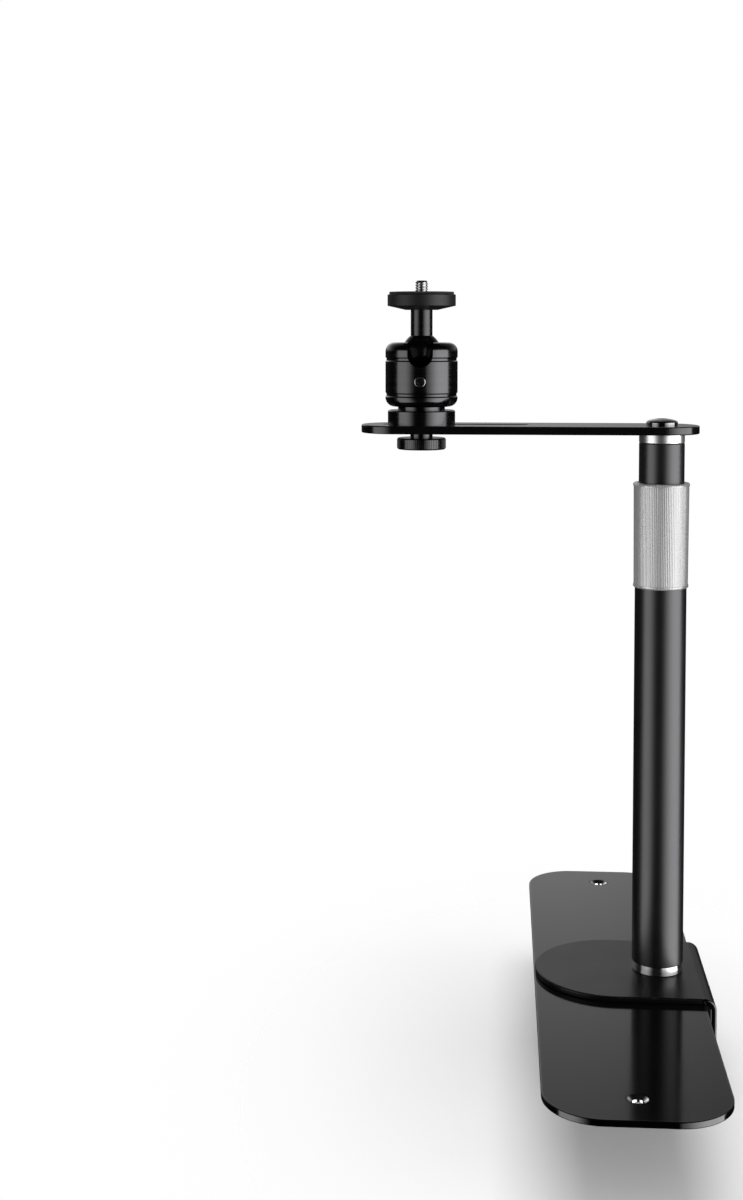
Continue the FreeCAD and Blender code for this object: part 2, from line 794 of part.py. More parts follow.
# Top disc with a shallow cone under it.
top_disc = make_body("top_disc", x="head_x", z="disc_z")
revolve(top_disc, [
    (None, None),
    ("disc_cone_r", None),
    ("disc_r", "disc_cone_h"),
    ("disc_r", "disc_top"),
    ("stud_hole_r", "disc_top"),
    ("stud_hole_r", "stud_floor"),
    (None, "stud_floor"),
])
dress(top_disc, "Fillet", "disc_round", rim(size("disc_r"), size("disc_top")))

# Soft pad on the disc.
top_pad = make_body("top_pad", x="head_x", z="pad_z")
revolve(top_pad, [
    ("stud_hole_r", None),
    ("top_pad_r", None),
    ("top_pad_r", "top_pad_h"),
    ("stud_hole_r", "top_pad_h"),
])

# Stud that screws into the carried device.
projector_stud = make_body("projector_stud", x="head_x", z="stud_z")
revolve(projector_stud, [
    (None, None),
    ("stud_root_r", None),
    ("stud_root_r", "stud_root_top"),
    ("stud_r", "stud_root_top"),
    ("stud_r", "stud_edge_z"),
    ("stud_edge_r", "stud_top"),
    (None, "stud_top"),
])

doc.recompute()
os.makedirs("parts", exist_ok=True)
for item in doc.Objects:
    if "Invalid" in item.State or "Error" in item.State:
        raise RuntimeError("not sound: " + item.Label)
for item in doc.Objects:
    if item.TypeId != "PartDesign::Body":
        continue
    if item.Shape.isNull() or not item.Shape.isValid() or not item.Shape.Solids:
        raise RuntimeError("no sound solid in " + item.Label)
    item.Shape.exportStep("parts/%s.step" % item.Label)
    print("%-16s %9.1f mm3" % (item.Label, item.Shape.Volume))
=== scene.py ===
# %% [markdown]
# # A telescoping bracket with a ball head, dressed in Blender
# The CAD model gives every solid at its real size, in metres, with +Z up: a base plate with a
# bent hook, a telescoping pole, a swing arm and a small ball head. This lesson loads those
# solids, sets up a camera and a small studio, and then gives each piece its finish.
# Loading comes first, because every later step reads from it.

import math

import bmesh
import bpy
from mathutils import Matrix, Vector


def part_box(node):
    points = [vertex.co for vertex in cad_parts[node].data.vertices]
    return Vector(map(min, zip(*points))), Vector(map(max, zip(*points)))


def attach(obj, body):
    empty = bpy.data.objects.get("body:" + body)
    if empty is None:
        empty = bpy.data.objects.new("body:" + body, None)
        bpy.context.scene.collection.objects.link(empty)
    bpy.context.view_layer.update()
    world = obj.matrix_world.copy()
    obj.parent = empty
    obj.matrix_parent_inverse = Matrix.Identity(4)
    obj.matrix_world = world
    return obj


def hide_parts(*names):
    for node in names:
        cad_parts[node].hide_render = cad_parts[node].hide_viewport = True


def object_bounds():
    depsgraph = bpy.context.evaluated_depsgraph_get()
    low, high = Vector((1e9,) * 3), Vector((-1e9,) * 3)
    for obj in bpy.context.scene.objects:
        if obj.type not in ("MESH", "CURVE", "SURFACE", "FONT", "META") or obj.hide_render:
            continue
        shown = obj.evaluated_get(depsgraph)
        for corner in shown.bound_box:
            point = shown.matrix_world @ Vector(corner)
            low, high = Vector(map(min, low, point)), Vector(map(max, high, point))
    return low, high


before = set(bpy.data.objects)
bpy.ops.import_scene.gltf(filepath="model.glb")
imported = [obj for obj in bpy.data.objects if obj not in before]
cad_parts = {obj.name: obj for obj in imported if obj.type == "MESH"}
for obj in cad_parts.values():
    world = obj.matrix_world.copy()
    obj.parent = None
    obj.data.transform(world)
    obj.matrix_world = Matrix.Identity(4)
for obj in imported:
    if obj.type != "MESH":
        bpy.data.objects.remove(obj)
cad_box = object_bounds()
MM = 0.001
print("CAD nodes:", len(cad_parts), "box:", [tuple(round(v, 4) for v in c) for c in cad_box])

# %% [markdown]
# ## The camera
# The bracket is seen from just above the arm, almost square on, with the camera turned a
# little to the left. The numbers come from fitting edges of the model to the picture, taken
# as 743 by 1200 pixels. A camera tilted down would make the pole lean, so most of the
# framing is a lens shift and only a small part is tilt.

# %% Camera
FRAME_TALL_PX = 1200
FOCAL_PX = 1700
SHIFT_PX = -180.8
SENSOR_MM = 36
CAMERA_AT_MM = Vector((-59.35, -833.04, 322.66))
CAMERA_TILT = 0.0542
CAMERA_TURN = 0.074

camera_data = bpy.data.cameras.new("bracket_camera")
camera_data.sensor_fit = "AUTO"
camera_data.sensor_width = SENSOR_MM
camera_data.lens = FOCAL_PX * SENSOR_MM / FRAME_TALL_PX
camera_data.shift_y = SHIFT_PX / FRAME_TALL_PX
camera_data.clip_start = 0.01
camera_data.clip_end = 50
camera = bpy.data.objects.new("bracket_camera", camera_data)
camera.location = CAMERA_AT_MM * MM
camera.rotation_euler = (math.pi / 2 - CAMERA_TILT, 0, CAMERA_TURN)
bpy.context.scene.collection.objects.link(camera)
bpy.context.scene.camera = camera
print("lens", round(camera_data.lens, 2), "mm, shift", round(camera_data.shift_y, 4))

# %% [markdown]
# ## Node helpers
# Shader trees could be wired one socket at a time, but they are easier to read when a node, its
# options and what feeds it stand together. The first helper adds one node and fills its sockets
# with plain values or with other sockets. The other two are the nodes that are needed most:
# a step of arithmetic, and a change from one range of numbers to another.

# %% Node helpers
def place(tree, kind, settings=None, feeds=None):
    """Adds a shader node; settings are its options and feeds its input values or sockets."""
    made = tree.nodes.new("ShaderNode" + kind)
    for key, value in (settings or {}).items():
        setattr(made, key, value)
    for key, value in (feeds or {}).items():
        if isinstance(value, bpy.types.NodeSocket):
            tree.links.new(value, made.inputs[key])
        else:
            made.inputs[key].default_value = value
    return made


def math_node(tree, operation, a, b=0.0):
    """One step of arithmetic in a shader tree."""
    return place(tree, "Math", {"operation": operation}, {0: a, 1: b}).outputs[0]


def remap(tree, value, start=0.0, stop=1.0, low=0.0, high=1.0, curve="LINEAR"):
    """Carries a value from the range start to stop into the range low to high."""
    made = place(tree, "MapRange", {"interpolation_type": curve}, {
        "Value": value,
        "From Min": start,
        "From Max": stop,
        "To Min": low,
        "To Max": high,
    })
    return made.outputs["Result"]


print("node helpers:", place.__name__, math_node.__name__, remap.__name__)

# %% [markdown]
# ## The studio lamps
# Black metal shows little colour of its own: what the eye reads is the light that it mirrors.
# On the round tube and the ball head there are two upright pale bands with a black band
# between them. So two tall softboxes stand left and right of the camera, the right one wider
# and brighter, and the space behind the camera stays dim. Each softbox fades towards the
# camera, so that a pale band ends softly on its inner side and crisply on its outer side.
# A lamp's Parametric coordinate runs across its panel, which is enough to grade it. A lamp
# overhead lights the floor. It is kept out of the mirror images, because the tops of the
# round pieces are dark.

# %% Softboxes
LOOK_AT = Vector((-0.03, 0, 0.2))
FADE_SHARE = 0.55


def softbox(name, azimuth_deg, distance, height, width, tall, radiance, inner=1.0):
    """A rectangular lamp that faces the bracket, fading to a share, inner, on the camera's side."""
    turn = math.radians(azimuth_deg)
    lamp = bpy.data.lights.new(name, "AREA")
    lamp.shape = "RECTANGLE"
    lamp.size = width
    lamp.size_y = tall
    lamp.energy = math.pi * width * tall * radiance
    holder = bpy.data.objects.new(name, lamp)
    aside = Vector((math.sin(turn), -math.cos(turn), 0)) * distance
    holder.location = Vector((LOOK_AT.x, LOOK_AT.y, height)) + aside
    holder.rotation_euler = (LOOK_AT - holder.location).to_track_quat("-Z", "Y").to_euler()
    holder.visible_camera = False
    bpy.context.scene.collection.objects.link(holder)
    lamp.use_nodes = True
    tree = lamp.node_tree
    panel = place(tree, "NewGeometry")
    across = place(tree, "SeparateXYZ", feeds={0: panel.outputs["Parametric"]}).outputs["X"]
    start, stop = (0.0, FADE_SHARE) if azimuth_deg > 0 else (1.0, 1.0 - FADE_SHARE)
    grade = remap(tree, across, start, stop, low=inner, curve="SMOOTHSTEP")
    tree.links.new(grade, tree.nodes["Emission"].inputs["Strength"])
    print(name, "power", round(lamp.energy, 1), "W")
    return holder


softbox(
    "softbox_right", azimuth_deg=57, distance=1.3, height=0.0, width=2.2, tall=1.7,
    radiance=3.5, inner=0.2,
)
softbox(
    "softbox_left", azimuth_deg=-52, distance=1.3, height=-0.1, width=1.5, tall=1.5,
    radiance=1.9, inner=0.0,
)
overhead = softbox(
    "softbox_over", azimuth_deg=0, distance=0.01, height=1.8, width=1.6, tall=1.6, radiance=3.4,
)
overhead.visible_glossy = False

# %% [markdown]
# ## The space round the bracket
# Camera rays see plain white. Mirror rays see a backdrop beyond the bracket, palest a little
# above the horizon, where the flat plates look, and dimmer below, high up and to the right. At
# the sides and behind the camera it is dark, which gives the black bands their depth. Real
# panels could stand there, but they would show in other views and throw light of their own. The
# world's Generated coordinate is the ray's own direction, so its Y says how far a ray points
# away from the camera, its Z how far it points up, and its X how far to the right.

# %% World
AMBIENT = 0.4
WHITE = 1.0

world = bpy.data.worlds.new("studio_world")
bpy.context.scene.world = world
world.use_nodes = True
sky = world.node_tree
sky.nodes.clear()


def mix_value(tree, mask, plain, marked):
    """Mixes two numbers by a mask."""
    return place(tree, "Mix", {"data_type": "FLOAT"}, {0: mask, 2: plain, 3: marked}).outputs[0]


def sky_grade(way, start, stop, low, high):
    """A soft change of brightness along one part of the ray's direction."""
    return remap(sky, ray.outputs[way], start, stop, low, high, "SMOOTHSTEP")


direction = place(sky, "TexCoord")
ray = place(sky, "SeparateXYZ", feeds={0: direction.outputs["Generated"]})
pale = sky_grade("Y", start=0.1, stop=0.85, low=0.015, high=1.05)
for grade in (
    sky_grade("Z", start=-0.025, stop=0.25, low=0.02, high=1.0),
    sky_grade("Z", start=0.2, stop=0.55, low=1.0, high=0.3),
    sky_grade("X", start=0.03, stop=0.2, low=1.0, high=0.45),
):
    pale = math_node(sky, "MULTIPLY", pale, grade)
path = place(sky, "LightPath").outputs
mirrored = math_node(sky, "MAXIMUM", path["Is Glossy Ray"], path["Is Transmission Ray"])
level = mix_value(sky, path["Is Camera Ray"], mix_value(sky, mirrored, AMBIENT, pale), WHITE)
lit = place(sky, "Background", feeds={"Color": (1, 1, 1, 1), "Strength": level})
place(sky, "OutputWorld", feeds={"Surface": lit.outputs[0]})
print("world nodes:", len(sky.nodes))

# %% [markdown]
# ## The floor
# A pale mat lies just under the hook's flange and takes the shadow. It is a plain diffuse sheet
# near the bracket and thins out to nothing a hand's width away, so that it melts into the white
# without a horizon line. Mirror rays pass through it, because the edge of the plate is black
# and a pale floor would show in it.

# %% Floor
FLOOR_DROP = 0.5 * MM
FLOOR_HALF = 0.6
FLOOR_GREY = (0.82, 0.82, 0.82, 1)

floor_z = cad_box[0].z - FLOOR_DROP
sheet = bmesh.new()
level_at = Matrix.Translation((0, 0, floor_z))
bmesh.ops.create_grid(sheet, x_segments=1, y_segments=1, size=FLOOR_HALF, matrix=level_at)
floor_mesh = bpy.data.meshes.new("floor")
sheet.to_mesh(floor_mesh)
sheet.free()
floor = bpy.data.objects.new("floor", floor_mesh)
bpy.context.scene.collection.objects.link(floor)
floor.visible_glossy = False

paper = bpy.data.materials.new("pale_mat")
paper.use_nodes = True
tree = paper.node_tree
tree.nodes.clear()
spot = place(tree, "TexCoord")
oval = place(tree, "Mapping", feeds={"Vector": spot.outputs["Object"], "Scale": (1.15, 0.8, 0)})
away = place(tree, "VectorMath", {"operation": "LENGTH"}, {0: oval.outputs[0]})
fade = remap(tree, away.outputs["Value"], start=0.05, stop=0.3, curve="SMOOTHSTEP")
matt = place(tree, "BsdfDiffuse", feeds={"Color": FLOOR_GREY})
clear = place(tree, "BsdfTransparent")
melt = place(tree, "MixShader", feeds={0: fade, 1: matt.outputs[0], 2: clear.outputs[0]})
place(tree, "OutputMaterial", feeds={"Surface": melt.outputs[0]})
floor_mesh.materials.append(paper)
print("floor at", round(floor_z, 4), "m")

# %% [markdown]
# ## Shared surface effects
# Several finishes share the same small effects, so each effect is a node group that is built
# once and placed in each material with its own values. A group is made from sockets on its
# interface, and puts out only heights and masks; the shader itself stays in the material.
#
# The first effect is the ripple of sprayed lacquer, which is never quite flat: it dries with a
# faint ripple that is a millimetre or so across, and its gloss differs a little from place to
# place. One fine noise gives the ripple and one broad noise the patches.

# %% Lacquer ripple
PATCH_SHARE = 0.06


def new_group(name, inputs, outputs):
    """An empty shader group. Inputs and outputs map a socket's name to its kind."""
    tree = bpy.data.node_groups.new(name, "ShaderNodeTree")
    for key, kind in inputs.items():
        tree.interface.new_socket(key, in_out="INPUT", socket_type="NodeSocket" + kind)
    for key, kind in outputs.items():
        tree.interface.new_socket(key, in_out="OUTPUT", socket_type="NodeSocket" + kind)
    return tree, tree.nodes.new("NodeGroupInput").outputs, tree.nodes.new("NodeGroupOutput").inputs


def noise(tree, vector, scale, detail):
    """A cloudy noise in space, from 0 to 1."""
    return place(tree, "TexNoise", feeds={"Vector": vector, "Scale": scale, "Detail": detail}).outputs[0]


ripple_tree, given, result = new_group(
    "lacquer_ripple",
    {"Vector": "Vector", "Scale": "Float"},
    {"Height": "Float", "Patches": "Float"},
)
broad_scale = math_node(ripple_tree, "MULTIPLY", given["Scale"], PATCH_SHARE)
fine = noise(ripple_tree, given["Vector"], given["Scale"], detail=2.0)
broad = noise(ripple_tree, given["Vector"], broad_scale, detail=3.0)
ripple_tree.links.new(fine, result["Height"])
ripple_tree.links.new(broad, result["Patches"])
print("group", ripple_tree.name, len(ripple_tree.nodes), "nodes")

# %% [markdown]
# Turned metal carries fine rings left by the tool. Grooves this fine could not be modelled, so
# they are a pattern. They run round the axis on the sides and as circles on the flat ends,
# which is a noise along the sum of height and radius.

# %% Turning rings
STREAK_SHARE = 0.17


def line_noise(tree, along, detail):
    """A noise along one line, from 0 to 1."""
    feeds = {"W": along, "Scale": 1.0, "Detail": detail}
    return place(tree, "TexNoise", {"noise_dimensions": "1D"}, feeds).outputs[0]


rings_tree, given, result = new_group(
    "turning_rings",
    {"Vector": "Vector", "Lines": "Float"},
    {"Height": "Float", "Streak": "Float"},
)
parts = place(rings_tree, "SeparateXYZ", feeds={0: given["Vector"]})
plan = place(rings_tree, "CombineXYZ", feeds={"X": parts.outputs["X"], "Y": parts.outputs["Y"]})
radius = place(rings_tree, "VectorMath", {"operation": "LENGTH"}, {0: plan.outputs[0]})
run = math_node(rings_tree, "ADD", radius.outputs["Value"], parts.outputs["Z"])
along = math_node(rings_tree, "MULTIPLY", run, given["Lines"])
wide = math_node(rings_tree, "MULTIPLY", along, STREAK_SHARE)
rings_tree.links.new(line_noise(rings_tree, along, detail=2.0), result["Height"])
rings_tree.links.new(line_noise(rings_tree, wide, detail=3.0), result["Streak"])
print("group", rings_tree.name, len(rings_tree.nodes), "nodes")

# %% [markdown]
# Drawn tube and the lock sleeve show the opposite: faint lines along their length. Here the
# noise runs round the axis, by the angle, and is stretched far along Z so that lines break up.

# %% Drawn lines
BREAKS_PER_M = 9.0

drawn_tree, given, result = new_group(
    "drawn_lines",
    {"Vector": "Vector", "Lines": "Float"},
    {"Height": "Float"},
)
parts = place(drawn_tree, "SeparateXYZ", feeds={0: given["Vector"]})
angle = math_node(drawn_tree, "ARCTAN2", parts.outputs["Y"], parts.outputs["X"])
turn = math_node(drawn_tree, "MULTIPLY", angle, given["Lines"])
climb = math_node(drawn_tree, "MULTIPLY", parts.outputs["Z"], BREAKS_PER_M)
unrolled = place(drawn_tree, "CombineXYZ", feeds={"X": turn, "Y": climb})
lines = place(drawn_tree, "TexNoise", {"noise_dimensions": "2D"}, {
    "Vector": unrolled.outputs[0],
    "Scale": 1.0,
    "Detail": 3.0,
})
drawn_tree.links.new(lines.outputs[0], result["Height"])
print("group", drawn_tree.name, len(drawn_tree.nodes), "nodes")

# %% [markdown]
# Coated plates rub first along their edges. The rubbed places could be painted by hand, but the
# distance to the outline of a rounded oblong can be worked out from the position alone, so a
# narrow band inside the outline, broken by noise, stands for rubbed coat. The same distance
# marks the rim, and a finer noise gives a few specks of dust on the flats.

# %% Edge rub
CHIPS_SCALE = 700.0
DUST_SCALE = 2600.0


def vector_step(tree, operation, a, b=(0, 0, 0)):
    """One step of vector arithmetic."""
    return place(tree, "VectorMath", {"operation": operation}, {0: a, 1: b}).outputs[0]


rub_tree, given, result = new_group(
    "edge_rub",
    {"Vector": "Vector", "Half": "Vector", "Corner": "Float", "Width": "Float"},
    {"Rub": "Float", "Dust": "Float", "Rim": "Float"},
)
folded = vector_step(rub_tree, "ABSOLUTE", vector_step(rub_tree, "MULTIPLY", given["Vector"], (1, 1, 0)))
corner = place(rub_tree, "CombineXYZ", feeds={"X": given["Corner"], "Y": given["Corner"]})
core = vector_step(rub_tree, "SUBTRACT", given["Half"], corner.outputs[0])
over = vector_step(rub_tree, "SUBTRACT", folded, core)
outer = vector_step(rub_tree, "MAXIMUM", over)
reach = place(rub_tree, "VectorMath", {"operation": "LENGTH"}, {0: outer}).outputs["Value"]
depth = math_node(rub_tree, "SUBTRACT", given["Corner"], reach)
share = math_node(rub_tree, "DIVIDE", depth, given["Width"])
off_middle = math_node(rub_tree, "ABSOLUTE", math_node(rub_tree, "SUBTRACT", share, 0.5))
band = remap(rub_tree, off_middle, start=0.5, stop=0.2)
chips = noise(rub_tree, given["Vector"], CHIPS_SCALE, detail=4.0)
broken = remap(rub_tree, chips, start=0.5, stop=0.68)
motes = noise(rub_tree, given["Vector"], DUST_SCALE, detail=1.0)
rub_tree.links.new(math_node(rub_tree, "MULTIPLY", band, broken), result["Rub"])
rub_tree.links.new(remap(rub_tree, motes, start=0.77, stop=0.84), result["Dust"])
rub_tree.links.new(remap(rub_tree, share, start=0.9, stop=0.7), result["Rim"])
print("group", rub_tree.name, len(rub_tree.nodes), "nodes")

# %% [markdown]
# ## Finish helpers
# Each finish is a material built on the Principled shader. Numbers that are the same all over
# sit on the shader's own sockets; what changes over the surface is linked to Base Color,
# Roughness or Normal. A Mapping node centres the pattern on the piece's own axis. A CAD mesh
# isn't changed, so its finish goes in the slot of its object.

# %% Material helpers
POLE_X = 20.5 * MM
HEAD_X = -96.5 * MM


def new_finish(name, colour, metallic, roughness, ior=1.5):
    """A material with a Principled shader; returns the material, its tree and its shader."""
    finish = bpy.data.materials.new(name)
    finish.use_nodes = True
    shader = finish.node_tree.nodes["Principled BSDF"]
    shader.inputs["Base Color"].default_value = (*colour, 1)
    shader.inputs["Metallic"].default_value = metallic
    shader.inputs["Roughness"].default_value = roughness
    shader.inputs["IOR"].default_value = ior
    return finish, finish.node_tree, shader


def position(tree, x=0.0):
    """The point on the surface, measured from a place along X."""
    spot = place(tree, "TexCoord")
    moved = place(tree, "Mapping", feeds={"Vector": spot.outputs["Object"], "Location": (-x, 0, 0)})
    return moved.outputs[0]


def use_group(tree, group, feeds):
    """Places a shared effect in a material."""
    return place(tree, "Group", {"node_tree": group}, feeds).outputs


def tint(tree, mask, plain, marked):
    """Mixes two colours by a mask; a colour is a socket or three numbers."""
    ends = [end if isinstance(end, bpy.types.NodeSocket) else (*end, 1) for end in (plain, marked)]
    return place(tree, "Mix", {"data_type": "RGBA"}, {0: mask, 6: ends[0], 7: ends[1]}).outputs[2]


def bump(tree, shader, height, depth):
    """Raises the surface by a height mask; depth is in metres."""
    raised = place(tree, "Bump", feeds={"Height": height, "Strength": 1.0, "Distance": depth})
    tree.links.new(raised.outputs[0], shader.inputs["Normal"])


def dress(finish, *names):
    """Gives CAD nodes a finish through their object's own material slot."""
    for name in names:
        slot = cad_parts[name].material_slots[0]
        slot.link = "OBJECT"
        slot.material = finish


print("pole axis at", POLE_X, "m, head axis at", HEAD_X, "m along X")

# %% [markdown]
# ## Plates
# The base plate and the arm are flat steel with a glossy black lacquer. Its colour is nearly
# black, and the grey that shows is the pale backdrop, mirrored at a low angle. A lighter colour
# would give that grey too, but it would stay when the light moves. The hook has a more satin
# coat, which is why it reads darker than the plate that it stands on. The rim of the base plate
# is polished, so that its corners catch the lamps as the tubes do, and so is the hook's edge
# where the sheet folds down. There a mask turns the lacquer into dark metal.

# %% Plate lacquer
BLACK = (0.0015, 0.0015, 0.0016)
RUBBED_BLACK = (0.025, 0.0245, 0.024)
RIM_METAL = (0.085, 0.085, 0.087)
RIM_ROUGH = 0.13
RUB_WIDE = 0.9 * MM
RUB_SHARE = 0.35
RUB_ROUGH = 0.15
RIPPLE_SCALE = 700.0
RIPPLE_DEEP = 0.0012 * MM


def plate_lacquer(name, middle_x, half, corner_r, gloss, ior, rim_from=None):
    """Black lacquer for a plate with a rounded outline; its rim is polished from rim_from along X."""
    finish, tree, shader = new_finish(name, BLACK, metallic=0.0, roughness=gloss, ior=ior)
    ripple = use_group(tree, ripple_tree, {"Vector": position(tree), "Scale": RIPPLE_SCALE})
    rub = use_group(tree, rub_tree, {
        "Vector": position(tree, x=middle_x),
        "Half": (half[0], half[1], 0),
        "Corner": corner_r,
        "Width": RUB_WIDE,
    })
    marked = math_node(tree, "ADD", math_node(tree, "MULTIPLY", rub["Rub"], RUB_SHARE), rub["Dust"])
    coat = tint(tree, marked, BLACK, RUBBED_BLACK)
    shine = remap(tree, ripple["Patches"], low=gloss - 0.04, high=gloss + 0.05)
    shine = math_node(tree, "ADD", shine, math_node(tree, "MULTIPLY", marked, RUB_ROUGH))
    if rim_from is not None:
        along = place(tree, "SeparateXYZ", feeds={0: position(tree)}).outputs["X"]
        past = math_node(tree, "GREATER_THAN", along, rim_from)
        bare = math_node(tree, "MULTIPLY", rub["Rim"], past)
        coat = tint(tree, bare, coat, RIM_METAL)
        shine = mix_value(tree, bare, shine, RIM_ROUGH)
        tree.links.new(bare, shader.inputs["Metallic"])
    tree.links.new(coat, shader.inputs["Base Color"])
    tree.links.new(shine, shader.inputs["Roughness"])
    bump(tree, shader, ripple["Height"], RIPPLE_DEEP)
    return finish


base_lacquer = plate_lacquer(
    "base_lacquer", middle_x=0.0, half=(40 * MM, 158 * MM), corner_r=25 * MM,
    gloss=0.11, ior=1.38, rim_from=-40 * MM,
)
arm_lacquer = plate_lacquer(
    "arm_lacquer", middle_x=-43.75 * MM, half=(82.25 * MM, 18 * MM), corner_r=18 * MM,
    gloss=0.16, ior=1.6,
)
# The hook's outline is closed far past its fold, so that only the shelf's own edge is marked.
hook_satin = plate_lacquer(
    "hook_satin", middle_x=30.25 * MM, half=(69.75 * MM, 38 * MM), corner_r=38 * MM,
    gloss=0.32, ior=1.36, rim_from=38 * MM,
)
dress(base_lacquer, "base_plate")
dress(arm_lacquer, "arm_plate")
dress(hook_satin, "hook_bracket")
print("plate finishes:", base_lacquer.name, arm_lacquer.name, hook_satin.name)

# %% [markdown]
# ## Tubes
# The two tubes are drawn metal with a thin black satin coat. It could be a black paint with a
# clear coat, but it reads as a dark metal with a soft sheen and faint lines along its length,
# so it is made as one.

# %% Black tube
TUBE_BLACK = (0.076, 0.076, 0.078)

tube_black, tree, shader = new_finish("tube_black", TUBE_BLACK, metallic=1.0, roughness=0.34)
axis = position(tree, x=POLE_X)
drawn = use_group(tree, drawn_tree, {"Vector": axis, "Lines": 60.0})
ripple = use_group(tree, ripple_tree, {"Vector": axis, "Scale": 900.0})
tree.links.new(remap(tree, ripple["Patches"], low=0.3, high=0.37), shader.inputs["Roughness"])
bump(tree, shader, drawn["Height"], 0.003 * MM)
dress(tube_black, "lower_tube", "upper_tube")
print("tube finish:", tube_black.name)

# %% [markdown]
# ## Ball head
# The housing, its base disc and the thumb screw are turned aluminium, anodised black, with
# fine rings from the lathe. The ball and stem are darker and smoother, and the top disc has
# a duller, bead-blasted face. One function makes them all, because only the colour, the gloss
# and the depth of the rings differ.

# %% Turned black metal
LATHE_LINES = 3000.0
STREAK_LIFT = 1.15
STREAK_ROUGH = 0.04


def turned_metal(name, colour, roughness, depth, middle_x=HEAD_X, pair_y=0.0, lines=LATHE_LINES):
    """Turned metal with rings round an upright axis, or round two of them at plus and minus pair_y."""
    finish, tree, shader = new_finish(name, colour, metallic=1.0, roughness=roughness)
    axis = position(tree, x=middle_x)
    if pair_y:
        axis = vector_step(tree, "SUBTRACT", vector_step(tree, "ABSOLUTE", axis), (0, pair_y, 0))
    rings = use_group(tree, rings_tree, {"Vector": axis, "Lines": lines})
    light = tuple(c * STREAK_LIFT for c in colour)
    shine = remap(tree, rings["Streak"], low=roughness - STREAK_ROUGH, high=roughness + STREAK_ROUGH)
    tree.links.new(tint(tree, rings["Streak"], colour, light), shader.inputs["Base Color"])
    tree.links.new(shine, shader.inputs["Roughness"])
    bump(tree, shader, rings["Height"], depth)
    return finish


head_black = turned_metal("head_black", (0.064, 0.064, 0.066), roughness=0.19, depth=0.0006 * MM)
ball_black = turned_metal("ball_black", (0.05, 0.05, 0.051), roughness=0.24, depth=0.0004 * MM)
disc_dark = turned_metal("disc_dark", (0.04, 0.04, 0.041), roughness=0.5, depth=0.0015 * MM)
dress(head_black, "ball_housing", "head_neck", "head_base", "thumb_screw")
dress(ball_black, "ball_stem")
dress(disc_dark, "top_disc")
print("head finishes:", head_black.name, ball_black.name, disc_dark.name)

# %% [markdown]
# ## Bright pieces
# The two collars of the pole and the eyelets are plated and polished. Plating shows the lathe
# rings only as a breath of roughness, so the same group is used with less depth. The foot
# collar is a little smoother than the one under the arm.

# %% Bright plating
PLATED_DEEP = 0.0004 * MM

ring_chrome = turned_metal(
    "ring_chrome", (0.68, 0.68, 0.69), roughness=0.32, depth=PLATED_DEEP, middle_x=POLE_X,
)
foot_chrome = turned_metal(
    "foot_chrome", (0.55, 0.55, 0.56), roughness=0.16, depth=PLATED_DEEP, middle_x=POLE_X,
)
dress(ring_chrome, "top_ring")
dress(foot_chrome, "foot_ring")
print("bright finishes:", ring_chrome.name, foot_chrome.name)

# %% [markdown]
# The eyelets line the two screw holes, one at each end of the plate. They are bright only inside; their
# flat lips are painted near black, as painted shade, the shadow round each hole. Both could have a
# material of their own, but folding Y to its absolute value lays one pattern on the two, and a mask on
# the height parts the lip from the cone and the bore.

# %% Eyelets
EYELET_Y = 138 * MM
LIP_DEEP = 0.1 * MM
# Colour of the flat lip, painted near black as painted shade round the hole.
LIP_PAINTED_SHADE = (0.05, 0.05, 0.051)

eyelet_chrome = turned_metal(
    "eyelet_chrome", (0.8, 0.8, 0.81), roughness=0.12, depth=PLATED_DEEP, middle_x=0.0, pair_y=EYELET_Y,
)
tree = eyelet_chrome.node_tree
shader = tree.nodes["Principled BSDF"]
plating = shader.inputs["Base Color"].links[0].from_socket
height = place(tree, "SeparateXYZ", feeds={0: position(tree)}).outputs["Z"]
lip = math_node(tree, "GREATER_THAN", height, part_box("eyelet_near")[1].z - LIP_DEEP)
# The flat lip is painted near black, as painted shade round the hole.
tree.links.new(tint(tree, lip, plating, LIP_PAINTED_SHADE), shader.inputs["Base Color"])
dress(eyelet_chrome, "eyelet_near", "eyelet_far")
print("eyelet finish:", eyelet_chrome.name)

# %% [markdown]
# ## Screws and pad
# The screws are blackened steel, a little brighter where tools touch them. The pad is dense
# black foam rubber with a fine grain, matt enough to swallow most of the light. Its grain could
# be displaced, but at this size a bump is enough.

# %% Screws and pad
PAD_BLACK = (0.012, 0.012, 0.012)
PAD_GREY = (0.02, 0.02, 0.02)

screw_black = turned_metal(
    "screw_black", (0.22, 0.22, 0.221), roughness=0.13, depth=0.0002 * MM, middle_x=POLE_X,
)
screw_steel = turned_metal("screw_steel", (0.5, 0.5, 0.505), roughness=0.16, depth=0.0005 * MM)
dress(screw_black, "foot_bolt", "pivot_screw")
dress(screw_steel, "set_screw")

pad_rubber, tree, shader = new_finish("pad_rubber", PAD_BLACK, metallic=0.0, roughness=0.75, ior=1.35)
grain = use_group(tree, ripple_tree, {"Vector": position(tree), "Scale": 3500.0})
tree.links.new(tint(tree, grain["Height"], PAD_BLACK, PAD_GREY), shader.inputs["Base Color"])
tree.links.new(remap(tree, grain["Patches"], low=0.65, high=0.85), shader.inputs["Roughness"])
bump(tree, shader, grain["Height"], 0.05 * MM)
dress(pad_rubber, "top_pad")
print("screw and pad finishes:", screw_black.name, screw_steel.name, pad_rubber.name)

# %% [markdown]
# ## The lock sleeve
# The silver sleeve is gripped and twisted to lock the pole, so its wall is knurled with fine
# upright ribs between two plain lips. The ribs could be a bump pattern, but their real edges
# break the mirrored light into fine lines, so they are modelled: one rib is drawn in plan,
# pulled up, and copied round the axis with spin. A rib's plan is a list of places round it and
# how far each is sunk, both as shares.

